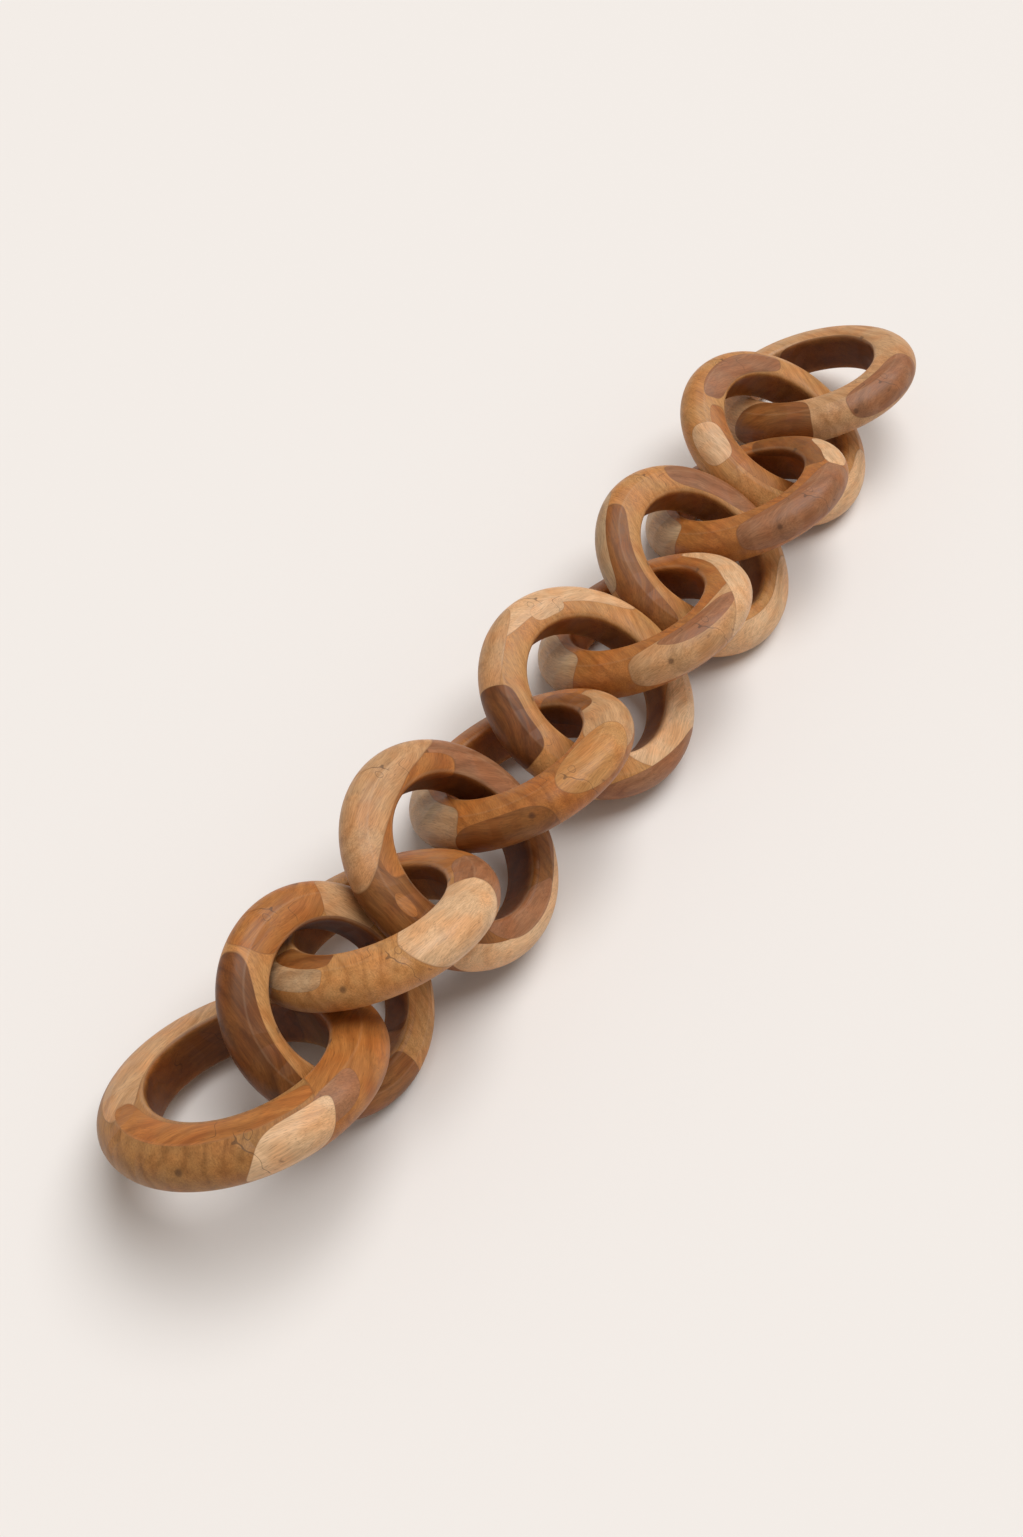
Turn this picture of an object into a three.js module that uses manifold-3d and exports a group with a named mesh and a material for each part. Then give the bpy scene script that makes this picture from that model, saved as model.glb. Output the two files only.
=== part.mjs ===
// Wooden chain: eleven closed rings, each one carved solid, interlocked and laid in a loose line.
// Units are millimetres, +Z is up and +X runs along the chain.
import * as THREE from "three";
import { mergeVertices } from "three/addons/utils/BufferGeometryUtils.js";
import Module from "manifold-3d";

const wasm = await Module();
wasm.setup();

// Section of the mean ring: radius from the ring's axis, height above its middle plane
const bore = { radius: 43.9, height: 11.2 };
const ease = { radius: 45.9, height: 13.0 };
const band = { radius: 52.0, height: 13.6 };
const ridge = { radius: 60.0, height: 12.3 };
const shoulder = { radius: 66.8, height: 8.6 };
const belly = { radius: 70.0, height: 2.9 };

const ringSteps = 36;
const restFlatDepth = 0.4;
const trimSize = 200;

// The hole is scooped wider on the low side of every second ring, at its top edge
const scoopDepth = 4;

// Lay of the rings, first to last: place along and across the line, lean from level in degrees,
// heading of the low side in degrees, size against the mean ring and lift off the surface
const lay = [
  { along: -314, across: 11.5, lean: 29.5, heading: 61, size: 1.05, lift: 0 },
  { along: -255.5, across: 3.5, lean: 38.5, heading: -79, size: 0.885, lift: 0 },
  { along: -212.5, across: 3.5, lean: 33.5, heading: 68, size: 0.965, lift: 12 },
  { along: -150.5, across: -2, lean: 33.5, heading: -72, size: 0.96, lift: 9 },
  { along: -75.5, across: 1.5, lean: 33.5, heading: 84, size: 1.005, lift: 0 },
  { along: -1.5, across: -0.5, lean: 25.5, heading: -91, size: 1, lift: 5.5 },
  { along: 66.5, across: -0.5, lean: 30, heading: 87, size: 1.015, lift: 0 },
  { along: 139.5, across: 2, lean: 26.5, heading: -89, size: 1.005, lift: 0 },
  { along: 209, across: -0.5, lean: 28.5, heading: 88, size: 1.015, lift: 0 },
  { along: 283, across: 13, lean: 24.5, heading: -86, size: 1.045, lift: 0 },
  { along: 355, across: 17, lean: 22.5, heading: 90, size: 1.075, lift: 0 },
];

const tones = ["#b47f4b", "#9f6c3d", "#bd9160", "#b58657"];
const roughness = 0.5;

// The section as a closed outline, anticlockwise, the upper half mirrored to the lower one
function sectionOutline(size) {
  const half = [bore, ease, band, ridge, shoulder, belly];
  const upper = half.map((spot) => new THREE.Vector2(spot.radius * size, spot.height * size));
  const lower = upper.map((spot) => new THREE.Vector2(spot.x, -spot.y)).reverse();
  const outline = [...upper, ...lower].reverse();
  outline.push(outline[0].clone());
  return outline;
}

// A ring about Z, its low side towards +X once it is leaned
function ringGeometry(size, scoop) {
  const geometry = new THREE.LatheGeometry(sectionOutline(size), ringSteps);
  geometry.rotateX(Math.PI / 2);
  const places = geometry.getAttribute("position");
  const innerLimit = (ease.radius + band.radius) * size / 2;
  for (let i = 0; i < places.count; i += 1) {
    const x = places.getX(i);
    const y = places.getY(i);
    const radius = Math.hypot(x, y);
    const towardsLow = Math.max(0, x / radius);
    if (places.getZ(i) > 0 && radius < innerLimit) {
      const wider = 1 + (scoop * towardsLow ** 2) / radius;
      places.setX(i, x * wider);
      places.setY(i, y * wider);
    }
  }
  return geometry;
}

// Height of the ring's centre at which its lowest edge just meets the surface
function centreHeight(lean, size) {
  const reach = [bore, ease, band, ridge, shoulder, belly].map(
    (spot) => spot.radius * Math.sin(lean) + spot.height * Math.cos(lean),
  );
  return Math.max(...reach) * size;
}

function toSolid(geometry) {
  const bare = geometry.clone();
  bare.deleteAttribute("normal");
  bare.deleteAttribute("uv");
  const merged = mergeVertices(bare, 1e-3);
  return new wasm.Manifold(new wasm.Mesh({
    numProp: 3,
    vertProperties: new Float32Array(merged.getAttribute("position").array),
    triVerts: new Uint32Array(merged.index.array),
  }));
}

function toGeometry(solid) {
  const mesh = solid.getMesh();
  const geometry = new THREE.BufferGeometry();
  geometry.setAttribute("position", new THREE.BufferAttribute(mesh.vertProperties, 3));
  geometry.setIndex(new THREE.BufferAttribute(mesh.triVerts, 1));
  geometry.computeVertexNormals();
  return geometry;
}

// A leaned ring in its place, with a small flat where it would sink into the surface
function laidRing(spot, index) {
  const lean = THREE.MathUtils.degToRad(spot.lean);
  const heading = THREE.MathUtils.degToRad(spot.heading);
  const geometry = ringGeometry(spot.size, index % 2 === 1 ? scoopDepth : 0);
  const height = centreHeight(lean, spot.size) - restFlatDepth + spot.lift;
  geometry.rotateY(lean);
  geometry.rotateZ(heading);
  geometry.translate(spot.along, spot.across, height);
  if (spot.lift >= restFlatDepth) {
    return toGeometry(toSolid(geometry));
  }
  const slab = new THREE.BoxGeometry(trimSize, trimSize, trimSize);
  slab.translate(spot.along, spot.across, -trimSize / 2);
  return toGeometry(toSolid(geometry).subtract(toSolid(slab)));
}

const chain = new THREE.Group();
lay.forEach((spot, index) => {
  const material = new THREE.MeshStandardMaterial({ color: tones[index % tones.length], roughness });
  const ring = new THREE.Mesh(laidRing(spot, index), material);
  ring.name = `ring_${String(index + 1).padStart(2, "0")}`;
  chain.add(ring);
});

// The origin is under the middle of the chain, on the surface
const box = new THREE.Box3().setFromObject(chain);
const middle = box.getCenter(new THREE.Vector3());
chain.children.forEach((ring) => {
  ring.position.set(-middle.x, -middle.y, -box.min.z);
});

export default chain;
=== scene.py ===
import math

import bpy
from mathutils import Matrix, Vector


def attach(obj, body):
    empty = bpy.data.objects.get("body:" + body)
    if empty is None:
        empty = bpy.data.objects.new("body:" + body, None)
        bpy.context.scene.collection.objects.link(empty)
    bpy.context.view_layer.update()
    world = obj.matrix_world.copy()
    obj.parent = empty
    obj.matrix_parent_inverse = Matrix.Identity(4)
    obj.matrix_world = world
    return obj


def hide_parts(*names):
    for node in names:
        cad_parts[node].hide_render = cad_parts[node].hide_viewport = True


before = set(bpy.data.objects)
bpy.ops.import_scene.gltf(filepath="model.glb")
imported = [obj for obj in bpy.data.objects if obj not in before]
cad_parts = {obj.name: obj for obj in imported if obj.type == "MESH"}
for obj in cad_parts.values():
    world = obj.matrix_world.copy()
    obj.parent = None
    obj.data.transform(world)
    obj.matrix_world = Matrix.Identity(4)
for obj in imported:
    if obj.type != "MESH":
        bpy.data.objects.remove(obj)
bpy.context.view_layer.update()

# Lengths are metres, the rings are listed from the front of the chain to the back

# The section of the mean ring: radius, height above the middle plane, rounding of the corner
section = {
    "bore": (0.0439, 0.0112, 0.0010),
    "ease": (0.0459, 0.0130, 0.0012),
    "band": (0.0520, 0.0136, 0.0030),
    "ridge": (0.0600, 0.0123, 0.0008),
    "shoulder": (0.0668, 0.0086, 0.0030),
    "belly": (0.0700, 0.0029, 0.0028),
}
ringSteps = 144
cornerSteps = 4
ringTrim = 0.9985
flatDepth = 0.0004
scoopDepth = 0.004
sectionCentre = 0.0565
chainMiddle = (0.022172, 0.011398)

# Light and dark side of each kind of wood in the chain
tones = {
    "cream": ((0.68, 0.44, 0.25), (0.50, 0.29, 0.14)),
    "tan": ((0.54, 0.31, 0.15), (0.34, 0.17, 0.065)),
    "honey": ((0.52, 0.26, 0.09), (0.33, 0.14, 0.035)),
    "orange": ((0.42, 0.165, 0.04), (0.24, 0.08, 0.016)),
    "brown": ((0.27, 0.105, 0.026), (0.13, 0.042, 0.008)),
    "mauve": ((0.33, 0.15, 0.07), (0.19, 0.075, 0.03)),
    "walnut": ((0.20, 0.07, 0.016), (0.06, 0.018, 0.004)),
    "olive": ((0.36, 0.175, 0.055), (0.19, 0.08, 0.02)),
    "grey": ((0.48, 0.32, 0.18), (0.30, 0.18, 0.09)),
}


def block(tone, around, across, slant=0, edge=2, grain=0, heart=(-30, 5)):
    return {
        "tone": tone, "around": around, "across": across, "slant": slant, "edge": edge,
        "grain": grain, "heart": heart,
    }


# A block of wood sits round the ring at an angle from its low side, and across it at an angle from
# the belly, 74 being the ridge, 130 the crease and 180 the bore; each with half its reach
rings = {
    "ring_01": {
        "along": -0.314, "across": 0.0115, "lean": 29.5, "heading": 61, "size": 1.05, "lift": 0,
        "wood": "olive",
        "blocks": [
            block("tan", (30, 65), (90, 42), edge=4, grain=-13, heart=(-32, 10)),
            # Painted shade: this brown block covers only the inner face of the bore, darker wood laid where the bore
            # lies in shadow
            block("brown", (20, 75), (180, 47), edge=6, grain=5, heart=(-22, -10)),
            block("orange", (145, 58), (98, 26), edge=4, grain=-18, heart=(-52, 6)),
            block("orange", (236, 41), (30, 130), slant=-0.12, edge=8, grain=-5, heart=(-47, 0)),
            block("mauve", (206, 13), (40, 36), slant=-0.12, edge=3, grain=20, heart=(-27, -7)),
            block("cream", (184, 17), (10, 56), slant=-0.12, edge=4, grain=10, heart=(-37, -2)),
        ],
    },
    "ring_02": {
        "along": -0.2555, "across": 0.0035, "lean": 38.5, "heading": -79, "size": 0.885, "lift": 0,
        "wood": "honey",
        "blocks": [
            block("orange", (160, 30), (60, 80), edge=4, grain=-10, heart=(-47, -4)),
            block("tan", (112, 20), (80, 60), edge=6, grain=10, heart=(-17, -4)),
            block("brown", (325, 30), (40, 100), edge=6, grain=-15, heart=(-37, 13)),
            # Painted shade: this brown block covers only the inner face of the bore, darker wood laid where the bore
            # lies in shadow
            block("brown", (90, 80), (180, 50), edge=6, grain=-15, heart=(-37, 13)),
            block("walnut", (243, 50), (30, 78), edge=2.5, grain=-3, heart=(-49, -9)),
            block("cream", (33, 9), (42, 14), edge=2, grain=-3, heart=(-49, -9)),
        ],
    },
    "ring_03": {
        "along": -0.2125, "across": 0.0035, "lean": 33.5, "heading": 68, "size": 0.965, "lift": 0.012,
        "wood": "honey",
        "blocks": [
            block("grey", (108, 22), (55, 30), edge=4, grain=-15, heart=(-37, 13)),
            block("brown", (110, 22), (108, 26), edge=4, grain=-15, heart=(-37, 13)),
            block("orange", (285, 34), (60, 110), edge=6, grain=-15, heart=(-37, 13)),
            block("mauve", (244, 22), (50, 70), edge=4, grain=15, heart=(-22, 13)),
            block("cream", (203, 33), (74, 140), edge=1.6, grain=0, heart=(-37, -10)),
        ],
    },
    "ring_04": {
        "along": -0.1505, "across": -0.002, "lean": 33.5, "heading": -72, "size": 0.96, "lift": 0.009,
        "wood": "brown",
        "blocks": [
            block("mauve", (98, 34), (75, 62), edge=4, grain=-15, heart=(-37, 13)),
            block("orange", (175, 60), (125, 40), edge=4, grain=-5, heart=(-37, 13)),
            block("tan", (178, 55), (15, 113), edge=2, grain=5, heart=(-47, -5)),
            block("cream", (345, 60), (20, 60), slant=0.4, edge=4, grain=5, heart=(-27, -5)),
            block("mauve", (335, 30), (112, 44), slant=0.3, edge=4, grain=-10, heart=(-27, -5)),
            block("orange", (250, 8), (84, 16), edge=2, grain=-10, heart=(-27, -5)),
        ],
    },
    "ring_05": {
        "along": -0.0755, "across": 0.0015, "lean": 33.5, "heading": 84, "size": 1.005, "lift": 0,
        "wood": "orange",
        "blocks": [
            block("grey", (70, 32), (30, 80), edge=4, grain=-10, heart=(-27, -5)),
            block("brown", (125, 25), (-20, 70), edge=3, grain=15, heart=(-27, -5)),
            block("tan", (225, 34), (60, 70), edge=3, grain=-15, heart=(-42, 3)),
            block("honey", (184, 27), (52, 66), edge=2, grain=10, heart=(-32, -9)),
            block("brown", (262, 26), (140, 45), edge=4, grain=15, heart=(-27, -5)),
        ],
    },
    "ring_06": {
        "along": -0.0015, "across": -0.0005, "lean": 25.5, "heading": -91, "size": 1, "lift": 0.0055,
        "wood": "honey",
        "blocks": [
            block("cream", (20, 42), (80, 60), slant=0.3, edge=4, grain=10, heart=(-32, -9)),
            block("mauve", (345, 38), (18, 56), edge=2, grain=-5, heart=(-32, 11)),
            block("cream", (150, 50), (40, 60), edge=3, grain=10, heart=(-32, -9)),
            block("tan", (208, 30), (20, 56), edge=2, grain=10, heart=(-32, -9)),
            block("walnut", (250, 22), (30, 70), edge=4, grain=10, heart=(-32, -9)),
            block("cream", (162, 13), (100, 22), edge=3, grain=-15, heart=(-22, 15)),
        ],
    },
    "ring_07": {
        "along": 0.0665, "across": -0.0005, "lean": 30, "heading": 87, "size": 1.015, "lift": 0,
        "wood": "orange",
        "blocks": [
            block("grey", (58, 28), (35, 80), edge=4, grain=-10, heart=(-27, -5)),
            block("tan", (165, 45), (30, 70), edge=3, grain=5, heart=(-17, -5)),
            block("mauve", (168, 26), (70, 30), slant=0.3, edge=3, grain=5, heart=(-17, -5)),
            block("cream", (224, 36), (30, 70), slant=-0.3, edge=4, grain=-10, heart=(-42, -5)),
        ],
    },
    "ring_08": {
        "along": 0.1395, "across": 0.002, "lean": 26.5, "heading": -89, "size": 1.005, "lift": 0,
        "wood": "honey",
        "blocks": [
            block("cream", (355, 50), (30, 70), edge=4, grain=-10, heart=(-42, -5)),
            block("brown", (240, 45), (55, 50), edge=3, grain=15, heart=(-42, -5)),
            block("mauve", (112, 36), (80, 48), edge=3, grain=-10, heart=(-27, -5)),
            block("grey", (215, 32), (-5, 40), edge=3, grain=-10, heart=(-27, -5)),
        ],
    },
    "ring_09": {
        "along": 0.209, "across": -0.0005, "lean": 28.5, "heading": 88, "size": 1.015, "lift": 0,
        "wood": "orange",
        "blocks": [
            block("grey", (52, 26), (35, 80), edge=4, grain=-10, heart=(-27, -5)),
            block("mauve", (160, 42), (35, 65), edge=3, grain=5, heart=(-17, -5)),
            block("brown", (245, 44), (112, 40), edge=4, grain=15, heart=(-17, -5)),
            block("cream", (222, 22), (50, 38), edge=3, grain=-10, heart=(-42, -5)),
        ],
    },
    "ring_10": {
        "along": 0.283, "across": 0.013, "lean": 24.5, "heading": -86, "size": 1.045, "lift": 0,
        "wood": "honey",
        "blocks": [
            block("cream", (345, 45), (40, 60), edge=4, grain=-10, heart=(-42, -5)),
            block("mauve", (160, 42), (98, 34), edge=4, grain=5, heart=(-17, -5)),
            block("orange", (258, 48), (112, 26), edge=4, grain=15, heart=(-17, -5)),
            block("cream", (238, 14), (60, 48), edge=3, grain=-10, heart=(-42, -5)),
        ],
    },
    "ring_11": {
        "along": 0.355, "across": 0.017, "lean": 22.5, "heading": 90, "size": 1.075, "lift": 0,
        "wood": "tan",
        "blocks": [
            block("brown", (92, 24), (40, 90), edge=4, grain=-10, heart=(-42, -5)),
            block("mauve", (168, 30), (40, 60), edge=3, grain=5, heart=(-17, -5)),
            block("brown", (265, 60), (180, 48), edge=6, grain=15, heart=(-17, -5)),
        ],
    },
}


def selectOnly(obj):
    bpy.ops.object.select_all(action="DESELECT")
    obj.select_set(True)
    bpy.context.view_layer.objects.active = obj


def profileSpots():
    upper = list(section.values())
    lower = [(radius, -height, rounding) for radius, height, rounding in reversed(upper)]
    return upper + lower


def roundCorner(obj, radius, height, rounding):
    bpy.ops.mesh.select_all(action="DESELECT")
    bpy.ops.object.mode_set(mode="OBJECT")
    for vertex in obj.data.vertices:
        vertex.select = abs(vertex.co.x - radius) < 1e-5 and abs(vertex.co.z - height) < 1e-5
    bpy.ops.object.mode_set(mode="EDIT")
    bpy.ops.mesh.bevel(offset=rounding, segments=cornerSteps, affect="VERTICES")


def meanRing():
    spots = profileSpots()
    bpy.ops.object.select_all(action="DESELECT")
    bpy.ops.mesh.primitive_plane_add(size=0.01, location=(0, 0, 0))
    ring = bpy.context.object
    ring.name = "mean_ring"
    bpy.ops.object.mode_set(mode="EDIT")
    bpy.ops.mesh.select_mode(type="VERT")
    bpy.ops.mesh.select_all(action="SELECT")
    bpy.ops.mesh.merge(type="CENTER")
    bpy.ops.transform.translate(value=(spots[0][0], 0, spots[0][1]))
    for before, after in zip(spots, spots[1:]):
        step = (after[0] - before[0], 0, after[1] - before[1])
        bpy.ops.mesh.extrude_region_move(TRANSFORM_OT_translate={"value": step})
    bpy.ops.object.mode_set(mode="OBJECT")
    for vertex in ring.data.vertices:
        vertex.select = vertex.index in (0, len(spots) - 1)
    bpy.ops.object.mode_set(mode="EDIT")
    bpy.ops.mesh.edge_face_add()
    for radius, height, rounding in spots:
        roundCorner(ring, radius, height, rounding)
    bpy.ops.mesh.select_all(action="SELECT")
    bpy.ops.mesh.spin(steps=ringSteps, angle=2 * math.pi, center=(0, 0, 0), axis=(0, 0, 1))
    bpy.ops.mesh.select_all(action="SELECT")
    bpy.ops.mesh.remove_doubles(threshold=1e-5)
    bpy.ops.mesh.normals_make_consistent(inside=False)
    bpy.ops.transform.resize(value=(ringTrim,) * 3, center_override=(0, 0, 0))
    bpy.ops.object.mode_set(mode="OBJECT")
    return ring


def centreHeight(lean, size):
    reach = [radius * math.sin(lean) + height * math.cos(lean) for radius, height, rounding in section.values()]
    return max(reach) * size


def placeOf(name):
    spot = rings[name]
    height = centreHeight(math.radians(spot["lean"]), spot["size"]) - flatDepth + spot["lift"]
    return Vector((spot["along"] - chainMiddle[0], spot["across"] - chainMiddle[1], height))


# Every second ring has its hole worn wider at the low side, along the upper crease
def scoopHole(ring):
    innerLimit = (section["ease"][0] + section["band"][0]) / 2
    inner = [v.index for v in ring.data.vertices if v.co.z > 0 and v.co.xy.length < innerLimit]
    turns = {i: math.atan2(ring.data.vertices[i].co.y, ring.data.vertices[i].co.x) for i in inner}
    for step in range(-ringSteps // 4 + 1, ringSteps // 4):
        angle = 2 * math.pi * step / ringSteps
        selectOnly(ring)
        bpy.ops.object.mode_set(mode="EDIT")
        bpy.ops.mesh.select_all(action="DESELECT")
        bpy.ops.object.mode_set(mode="OBJECT")
        for i in inner:
            ring.data.vertices[i].select = abs(turns[i] - angle) < math.pi / ringSteps
        bpy.ops.object.mode_set(mode="EDIT")
        out = scoopDepth * math.cos(angle) ** 2
        bpy.ops.transform.translate(value=(out * math.cos(angle), out * math.sin(angle), 0))
        bpy.ops.object.mode_set(mode="OBJECT")


# The turning tool counts clockwise, so lean and heading go in with a minus
def layRing(mean, name):
    spot = rings[name]
    ring = mean.copy()
    ring.data = mean.data.copy()
    ring.name = name + "_wood"
    ring.data.name = ring.name
    bpy.context.collection.objects.link(ring)
    selectOnly(ring)
    bpy.ops.object.mode_set(mode="EDIT")
    bpy.ops.mesh.select_all(action="SELECT")
    bpy.ops.transform.resize(value=(spot["size"],) * 3, center_override=(0, 0, 0))
    bpy.ops.transform.rotate(value=-math.radians(spot["lean"]), orient_axis="Y", center_override=(0, 0, 0))
    bpy.ops.transform.rotate(value=-math.radians(spot["heading"]), orient_axis="Z", center_override=(0, 0, 0))
    bpy.ops.transform.translate(value=placeOf(name))
    if spot["lift"] < flatDepth:
        bpy.ops.mesh.select_all(action="SELECT")
        bpy.ops.mesh.bisect(plane_co=(0, 0, 0), plane_no=(0, 0, 1), clear_inner=True, use_fill=True)
    bpy.ops.object.mode_set(mode="OBJECT")
    bpy.ops.object.shade_smooth_by_angle(angle=math.radians(40))
    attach(ring, "root")
    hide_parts(name)
    return ring


def wire(tree, value, socket):
    if isinstance(value, bpy.types.NodeSocket):
        tree.links.new(value, socket)
    else:
        socket.default_value = value


def calc(tree, operation, *values):
    node = tree.nodes.new("ShaderNodeMath")
    node.operation = operation
    for value, socket in zip(values, node.inputs):
        wire(tree, value, socket)
    return node.outputs[0]


def vectorCalc(tree, operation, *values):
    node = tree.nodes.new("ShaderNodeVectorMath")
    node.operation = operation
    for value, socket in zip(values, node.inputs):
        wire(tree, value, socket)
    return node.outputs["Vector"]


def scaled(tree, vector, scale):
    node = tree.nodes.new("ShaderNodeVectorMath")
    node.operation = "MULTIPLY"
    tree.links.new(vector, node.inputs[0])
    node.inputs[1].default_value = scale
    return node.outputs["Vector"]


def ramp(tree, value, low, high, start=0.0, end=1.0):
    node = tree.nodes.new("ShaderNodeMapRange")
    node.interpolation_type = "SMOOTHSTEP"
    wire(tree, value, node.inputs["Value"])
    wire(tree, low, node.inputs["From Min"])
    wire(tree, high, node.inputs["From Max"])
    wire(tree, start, node.inputs["To Min"])
    wire(tree, end, node.inputs["To Max"])
    return node.outputs["Result"]


def noise(tree, vector, scale, detail=2.0, roughness=0.5, output="Fac"):
    node = tree.nodes.new("ShaderNodeTexNoise")
    wire(tree, vector, node.inputs["Vector"])
    node.inputs["Scale"].default_value = scale
    node.inputs["Detail"].default_value = detail
    node.inputs["Roughness"].default_value = roughness
    return node.outputs[output]


def mixColour(tree, factor, under, over, blend="MIX"):
    node = tree.nodes.new("ShaderNodeMix")
    node.data_type = "RGBA"
    node.blend_type = blend
    wire(tree, factor, node.inputs[0])
    wire(tree, under, node.inputs[6])
    wire(tree, over, node.inputs[7])
    return node.outputs[2]


def mixVector(tree, factor, under, over):
    node = tree.nodes.new("ShaderNodeMix")
    node.data_type = "VECTOR"
    wire(tree, factor, node.inputs[0])
    wire(tree, under, node.inputs[4])
    wire(tree, over, node.inputs[5])
    return node.outputs[1]


kinds = {"value": "NodeSocketFloat", "vector": "NodeSocketVector", "colour": "NodeSocketColor"}


def newGroup(name, inputs, outputs):
    group = bpy.data.node_groups.new(name, "ShaderNodeTree")
    for label, kind in inputs:
        group.interface.new_socket(name=label, in_out="INPUT", socket_type=kinds[kind])
    for label, kind in outputs:
        group.interface.new_socket(name=label, in_out="OUTPUT", socket_type=kinds[kind])
    entry = group.nodes.new("NodeGroupInput")
    leave = group.nodes.new("NodeGroupOutput")
    return group, entry.outputs, leave.inputs


def placeGroup():
    group, entry, leave = newGroup(
        "ring_place",
        [("Vector", "vector")],
        [("Around", "value"), ("Across", "value")],
    )
    split = group.nodes.new("ShaderNodeSeparateXYZ")
    group.links.new(entry["Vector"], split.inputs[0])
    x, y, z = split.outputs
    around = calc(group, "DEGREES", calc(group, "ARCTAN2", y, x))
    radius = calc(group, "SQRT", calc(group, "ADD", calc(group, "MULTIPLY", x, x), calc(group, "MULTIPLY", y, y)))
    outward = calc(group, "SUBTRACT", radius, sectionCentre)
    across = calc(group, "DEGREES", calc(group, "ARCTAN2", z, outward))
    group.links.new(around, leave["Around"])
    group.links.new(across, leave["Across"])
    return group


def blockGroup():
    group, entry, leave = newGroup(
        "wood_block",
        [
            ("Around", "value"), ("Across", "value"), ("Wobble", "value"),
            ("At Around", "value"), ("At Across", "value"), ("Half Around", "value"), ("Half Across", "value"),
            ("Slant", "value"), ("Edge", "value"),
            ("Under Tone", "colour"), ("Under Shade", "colour"), ("Under Turn", "vector"),
            ("Under Heart", "vector"), ("Under Joint", "value"),
            ("Tone", "colour"), ("Shade", "colour"), ("Turn", "vector"), ("Heart", "vector"),
        ],
        [("Tone", "colour"), ("Shade", "colour"), ("Turn", "vector"), ("Heart", "vector"), ("Joint", "value")],
    )
    offAround = calc(group, "WRAP", calc(group, "SUBTRACT", entry["Around"], entry["At Around"]), 180.0, -180.0)
    offAcross = calc(group, "WRAP", calc(group, "SUBTRACT", entry["Across"], entry["At Across"]), 180.0, -180.0)
    slanted = calc(group, "ADD", offAround, calc(group, "MULTIPLY", offAcross, entry["Slant"]))
    wide = calc(group, "POWER", calc(group, "ABSOLUTE", calc(group, "DIVIDE", slanted, entry["Half Around"])), entry["Edge"])
    high = calc(group, "POWER", calc(group, "ABSOLUTE", calc(group, "DIVIDE", offAcross, entry["Half Across"])), entry["Edge"])
    reach = calc(group, "POWER", calc(group, "ADD", wide, high), calc(group, "DIVIDE", 1.0, entry["Edge"]))
    reach = calc(group, "ADD", reach, entry["Wobble"])
    inside = ramp(group, reach, 1.01, 0.99)
    joint = ramp(group, calc(group, "ABSOLUTE", calc(group, "SUBTRACT", reach, 1.0)), 0.025, 0.0)
    group.links.new(mixColour(group, inside, entry["Under Tone"], entry["Tone"]), leave["Tone"])
    group.links.new(mixColour(group, inside, entry["Under Shade"], entry["Shade"]), leave["Shade"])
    group.links.new(mixVector(group, inside, entry["Under Turn"], entry["Turn"]), leave["Turn"])
    group.links.new(mixVector(group, inside, entry["Under Heart"], entry["Heart"]), leave["Heart"])
    kept = calc(group, "MULTIPLY", entry["Under Joint"], calc(group, "SUBTRACT", 1.0, inside))
    group.links.new(calc(group, "MAXIMUM", kept, joint), leave["Joint"])
    return group


def figureGroup():
    group, entry, leave = newGroup(
        "wood_figure",
        [("Vector", "vector"), ("Turn", "vector"), ("Heart", "vector"), ("Ring Width", "value"), ("Warp", "value")],
        [("Growth", "value"), ("Streaks", "value"), ("Fibre", "value"), ("Pores", "value"), ("Blotch", "value")],
    )
    turned = group.nodes.new("ShaderNodeVectorRotate")
    turned.rotation_type = "EULER_XYZ"
    group.links.new(entry["Vector"], turned.inputs["Vector"])
    group.links.new(entry["Turn"], turned.inputs["Rotation"])
    shifted = vectorCalc(group, "SUBTRACT", turned.outputs["Vector"], entry["Heart"])
    bend = vectorCalc(group, "SUBTRACT", noise(group, shifted, 20.0, 1.0, 0.5, "Color"), (0.5, 0.5, 0.5))
    bendScale = group.nodes.new("ShaderNodeVectorMath")
    bendScale.operation = "SCALE"
    group.links.new(bend, bendScale.inputs[0])
    group.links.new(entry["Warp"], bendScale.inputs["Scale"])
    bent = vectorCalc(group, "ADD", shifted, bendScale.outputs["Vector"])
    heart = group.nodes.new("ShaderNodeVectorMath")
    heart.operation = "LENGTH"
    group.links.new(scaled(group, bent, (0.12, 1.0, 1.0)), heart.inputs[0])
    spread = noise(group, scaled(group, bent, (0.2, 1.0, 1.0)), 60.0, 1.0)
    year = calc(group, "MULTIPLY_ADD", spread, 2.2, calc(group, "DIVIDE", heart.outputs["Value"], entry["Ring Width"]))
    wave = calc(group, "MULTIPLY_ADD", calc(group, "SINE", calc(group, "MULTIPLY", year, 2 * math.pi)), 0.5, 0.5)
    strength = ramp(group, spread, 0.35, 0.65, 0.2, 1.0)
    group.links.new(calc(group, "MULTIPLY", calc(group, "POWER", wave, 3.0), strength), leave["Growth"])
    streaks = noise(group, scaled(group, bent, (0.07, 1.0, 1.0)), 210.0, 3.0, 0.6)
    group.links.new(ramp(group, streaks, 0.38, 0.68), leave["Streaks"])
    fibre = noise(group, scaled(group, bent, (0.06, 1.0, 1.0)), 1300.0, 2.0, 0.6)
    group.links.new(fibre, leave["Fibre"])
    pores = noise(group, scaled(group, bent, (0.09, 1.0, 1.0)), 2300.0, 0.0)
    group.links.new(ramp(group, pores, 0.66, 0.76), leave["Pores"])
    group.links.new(ramp(group, noise(group, shifted, 48.0, 2.0, 0.6), 0.35, 0.68), leave["Blotch"])
    return group


# Knots and cracks are the wood's own marks; the edge lines are painted highlight, the bore mask carries painted shade,
# and the facets feed the bump
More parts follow.
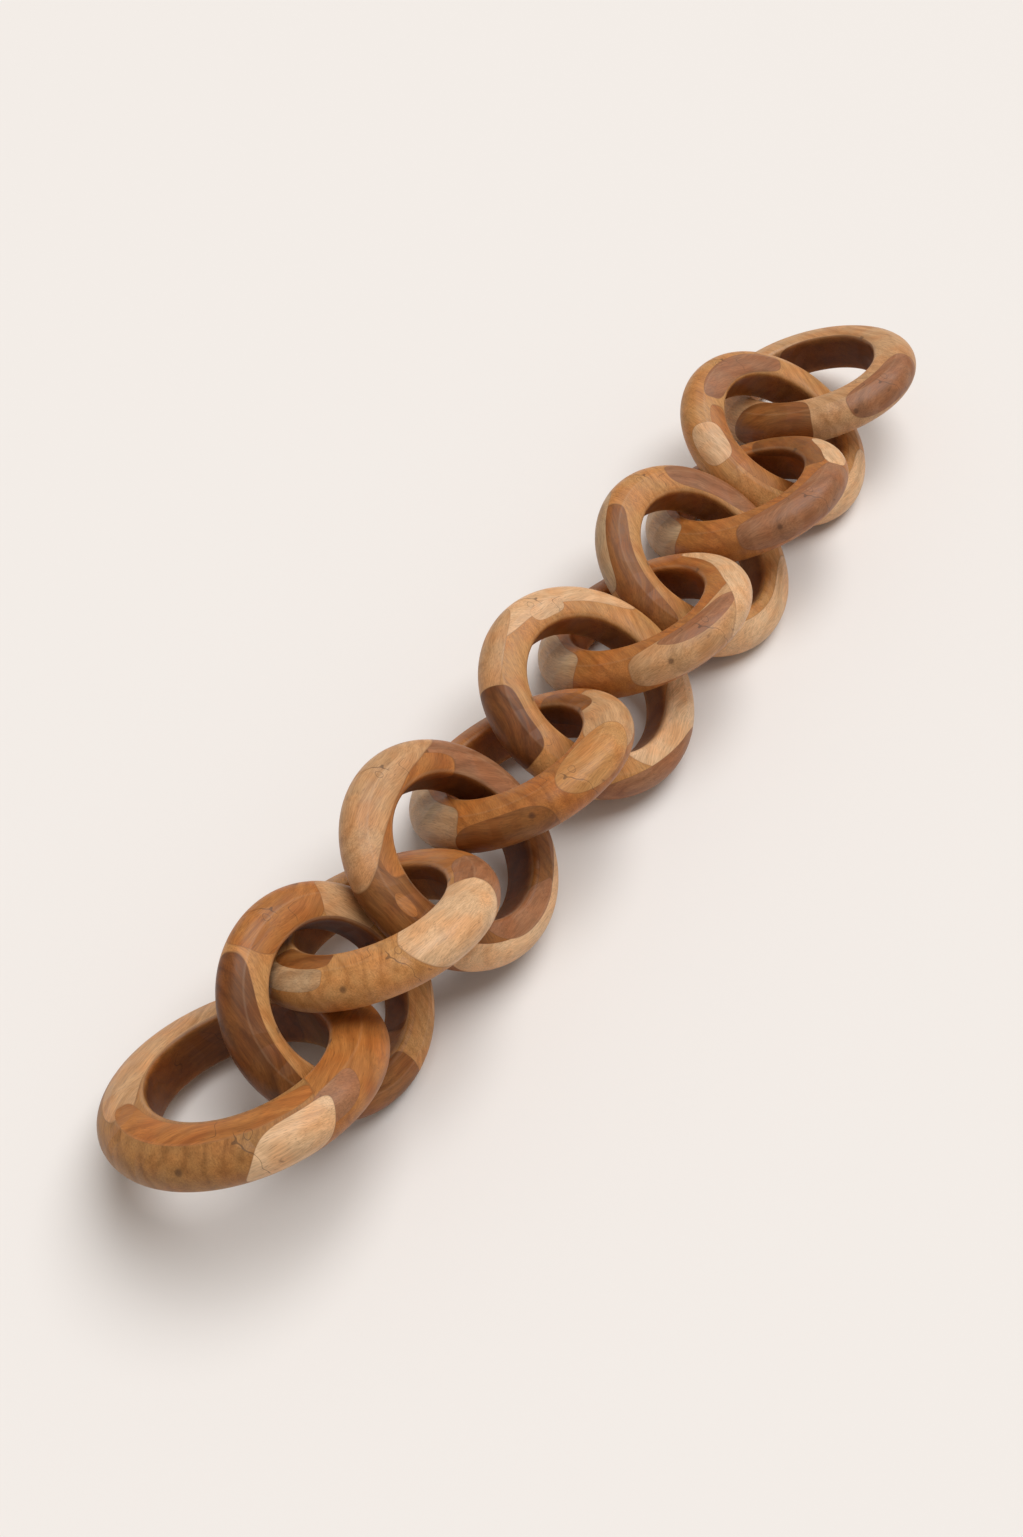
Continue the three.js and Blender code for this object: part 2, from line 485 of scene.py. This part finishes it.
def marksAndLightGroup():
    group, entry, leave = newGroup(
        "wood_marks_and_painted_light",
        [("Vector", "vector"), ("Across", "value")],
        [("Knots", "value"), ("Cracks", "value"), ("Edges", "value"), ("Bore Shade", "value"), ("Facets", "value")],
    )
    cells = group.nodes.new("ShaderNodeTexVoronoi")
    cells.inputs["Scale"].default_value = 26.0
    group.links.new(entry["Vector"], cells.inputs["Vector"])
    rare = calc(group, "GREATER_THAN", noise(group, entry["Vector"], 18.0, 0.0), 0.5)
    knot = ramp(group, cells.outputs["Distance"], 0.07, 0.03)
    group.links.new(calc(group, "MULTIPLY", knot, rare), leave["Knots"])
    crackLine = calc(group, "ABSOLUTE", calc(group, "SUBTRACT", noise(group, entry["Vector"], 24.0, 3.0, 0.55), 0.5))
    crackArea = ramp(group, noise(group, entry["Vector"], 31.0, 1.0), 0.56, 0.62)
    group.links.new(calc(group, "MULTIPLY", ramp(group, crackLine, 0.0035, 0.001), crackArea), leave["Cracks"])
    side = calc(group, "ABSOLUTE", entry["Across"])
    # Painted highlight: thin lighter lines along the crease and, at half strength, along the ridge of the section
    crease = ramp(group, calc(group, "ABSOLUTE", calc(group, "SUBTRACT", side, 132.0)), 6.0, 0.0)
    ridge = ramp(group, calc(group, "ABSOLUTE", calc(group, "SUBTRACT", side, 74.0)), 5.0, 0.0)
    group.links.new(calc(group, "MAXIMUM", crease, calc(group, "MULTIPLY", ridge, 0.5)), leave["Edges"])
    # Mask over the inner face of the bore, used for painted shade there
    group.links.new(ramp(group, side, 134.0, 150.0), leave["Bore Shade"])
    facet = noise(group, entry["Vector"], 38.0, 0.0)
    group.links.new(calc(group, "PINGPONG", calc(group, "MULTIPLY", facet, 6.0), 1.0), leave["Facets"])
    return group


def useGroup(tree, group):
    node = tree.nodes.new("ShaderNodeGroup")
    node.node_tree = group
    return node


def opaque(colour):
    return (colour[0], colour[1], colour[2], 1.0)


def ringWood(name, groups):
    spot = rings[name]
    material = bpy.data.materials.new(name + "_wood")
    material.use_nodes = True
    tree = material.node_tree
    shader = tree.nodes["Principled BSDF"]
    coordinates = tree.nodes.new("ShaderNodeTexCoord")
    mapping = tree.nodes.new("ShaderNodeMapping")
    mapping.vector_type = "TEXTURE"
    mapping.inputs["Location"].default_value = placeOf(name)
    mapping.inputs["Rotation"].default_value = (0, math.radians(spot["lean"]), math.radians(spot["heading"]))
    mapping.inputs["Scale"].default_value = (spot["size"],) * 3
    tree.links.new(coordinates.outputs["Object"], mapping.inputs["Vector"])
    local = mapping.outputs["Vector"]
    place = useGroup(tree, groups["place"])
    tree.links.new(local, place.inputs["Vector"])
    wobble = calc(tree, "MULTIPLY_ADD", noise(tree, local, 30.0, 2.0), 0.12, -0.06)
    light, dark = tones[spot["wood"]]
    tone, shade, turn, heart, joint = opaque(light), opaque(dark), (0, 0.1, 0.4), (0, -0.03, 0.01), 0.0
    for part in spot["blocks"]:
        node = useGroup(tree, groups["block"])
        tree.links.new(place.outputs["Around"], node.inputs["Around"])
        tree.links.new(place.outputs["Across"], node.inputs["Across"])
        tree.links.new(wobble, node.inputs["Wobble"])
        node.inputs["At Around"].default_value = part["around"][0]
        node.inputs["Half Around"].default_value = part["around"][1]
        node.inputs["At Across"].default_value = part["across"][0]
        node.inputs["Half Across"].default_value = part["across"][1]
        node.inputs["Slant"].default_value = part["slant"]
        node.inputs["Edge"].default_value = part["edge"]
        light, dark = tones[part["tone"]]
        node.inputs["Tone"].default_value = opaque(light)
        node.inputs["Shade"].default_value = opaque(dark)
        alongRing = -part["around"][0] - 90 + part["grain"]
        node.inputs["Turn"].default_value = (0, 0, math.radians(alongRing))
        outward, upward = part["heart"]
        node.inputs["Heart"].default_value = (0.001 * alongRing, -sectionCentre - 0.001 * outward, 0.001 * upward)
        wire(tree, tone, node.inputs["Under Tone"])
        wire(tree, shade, node.inputs["Under Shade"])
        wire(tree, turn, node.inputs["Under Turn"])
        wire(tree, heart, node.inputs["Under Heart"])
        wire(tree, joint, node.inputs["Under Joint"])
        tone, shade, turn, heart, joint = node.outputs
    figure = useGroup(tree, groups["figure"])
    tree.links.new(local, figure.inputs["Vector"])
    tree.links.new(turn, figure.inputs["Turn"])
    tree.links.new(heart, figure.inputs["Heart"])
    figure.inputs["Ring Width"].default_value = 0.008
    figure.inputs["Warp"].default_value = 0.022
    marksAndLight = useGroup(tree, groups["marksAndLight"])
    tree.links.new(local, marksAndLight.inputs["Vector"])
    tree.links.new(place.outputs["Across"], marksAndLight.inputs["Across"])
    colour = mixColour(tree, calc(tree, "MULTIPLY", figure.outputs["Growth"], 0.6), tone, shade)
    colour = mixColour(tree, calc(tree, "MULTIPLY", figure.outputs["Streaks"], 0.45), colour, shade)
    warm = mixColour(tree, 1.0, colour, (1.05, 0.82, 0.62, 1), "MULTIPLY")
    colour = mixColour(tree, calc(tree, "MULTIPLY", figure.outputs["Blotch"], 0.7), colour, warm)
    fibres = ramp(tree, figure.outputs["Fibre"], 0.3, 0.7, 0.84, 1.12)
    fibreTint = tree.nodes.new("ShaderNodeCombineColor")
    for socket in fibreTint.inputs:
        tree.links.new(fibres, socket)
    colour = mixColour(tree, 1.0, colour, fibreTint.outputs[0], "MULTIPLY")
    colour = mixColour(tree, calc(tree, "MULTIPLY", figure.outputs["Pores"], 0.3), colour, (0.06, 0.025, 0.01, 1))
    colour = mixColour(tree, calc(tree, "MULTIPLY", joint, 0.3), colour, (0.09, 0.04, 0.015, 1))
    colour = mixColour(tree, calc(tree, "MULTIPLY", marksAndLight.outputs["Knots"], 0.6), colour, (0.05, 0.02, 0.01, 1))
    colour = mixColour(tree, calc(tree, "MULTIPLY", marksAndLight.outputs["Cracks"], 0.6), colour, (0.04, 0.018, 0.008, 1))
    # Painted highlight: the crease and ridge lines are mixed towards a pale colour
    colour = mixColour(tree, calc(tree, "MULTIPLY", marksAndLight.outputs["Edges"], 0.12), colour, (0.75, 0.52, 0.32, 1))
    # Painted shade: the inner face of the bore is multiplied darker, standing in for the shade where the rings
    # interlock
    painted_bore_shade = mixColour(tree, 1.0, colour, (0.55, 0.42, 0.3, 1), "MULTIPLY")
    colour = mixColour(tree, marksAndLight.outputs["Bore Shade"], colour, painted_bore_shade)
    tree.links.new(colour, shader.inputs["Base Color"])
    tree.links.new(ramp(tree, figure.outputs["Fibre"], 0.2, 0.8, 0.38, 0.52), shader.inputs["Roughness"])
    bump = tree.nodes.new("ShaderNodeBump")
    bump.inputs["Strength"].default_value = 0.5
    bump.inputs["Distance"].default_value = 0.0008
    tree.links.new(marksAndLight.outputs["Facets"], bump.inputs["Height"])
    tree.links.new(bump.outputs["Normal"], shader.inputs["Normal"])
    shader.inputs["Specular IOR Level"].default_value = 0.3
    return material


mean = meanRing()
scooped = mean.copy()
scooped.data = mean.data.copy()
scooped.name = "scooped_ring"
bpy.context.collection.objects.link(scooped)
scoopHole(scooped)
chain = [layRing(mean if spot["heading"] > 0 else scooped, name) for name, spot in rings.items()]
bpy.data.objects.remove(mean, do_unlink=True)
bpy.data.objects.remove(scooped, do_unlink=True)
print("rings laid:", len(chain))

groups = {"place": placeGroup(), "block": blockGroup(), "figure": figureGroup(), "marksAndLight": marksAndLightGroup()}
for name, ring in zip(rings, chain):
    ring.data.materials.clear()
    ring.data.materials.append(ringWood(name, groups))
print("wood made:", len(bpy.data.materials))

# The surface under the chain
bpy.ops.object.select_all(action="DESELECT")
bpy.ops.mesh.primitive_plane_add(size=12, location=(0, 0, 0))
floor = bpy.context.object
floor.name = "floor"
floorPaint = bpy.data.materials.new("floor_paper")
floorPaint.use_nodes = True
floorPaint.node_tree.nodes["Principled BSDF"].inputs["Base Color"].default_value = (0.80, 0.775, 0.755, 1)
floorPaint.node_tree.nodes["Principled BSDF"].inputs["Roughness"].default_value = 0.9
floor.data.materials.append(floorPaint)

# Light
world = bpy.data.worlds.new("studio")
world.use_nodes = True
bpy.context.scene.world = world
world.node_tree.nodes["Background"].inputs["Color"].default_value = (1, 0.92, 0.84, 1)
world.node_tree.nodes["Background"].inputs["Strength"].default_value = 0.40

bpy.ops.object.light_add(type="SUN", location=(1.2, -0.2, 3))
key = bpy.context.object
key.name = "key_light"
key.data.angle = math.radians(50)
key.data.energy = 2.45
key.data.color = (1, 1.0, 1.0)
key.rotation_euler = (Vector((0, 0, 0)) - key.location).to_track_quat("-Z", "Y").to_euler()

# Camera
bpy.ops.object.camera_add(location=(-0.556, -0.293, 0.6967))
camera = bpy.context.object
camera.name = "camera"
camera.data.lens = 34.58
camera.data.sensor_width = 36
camera.data.clip_start = 0.01
camera.rotation_euler = (math.radians(39.5), 0, math.radians(-57.77))
bpy.context.scene.camera = camera
bpy.context.scene.view_settings.view_transform = "Standard"
print("camera set")
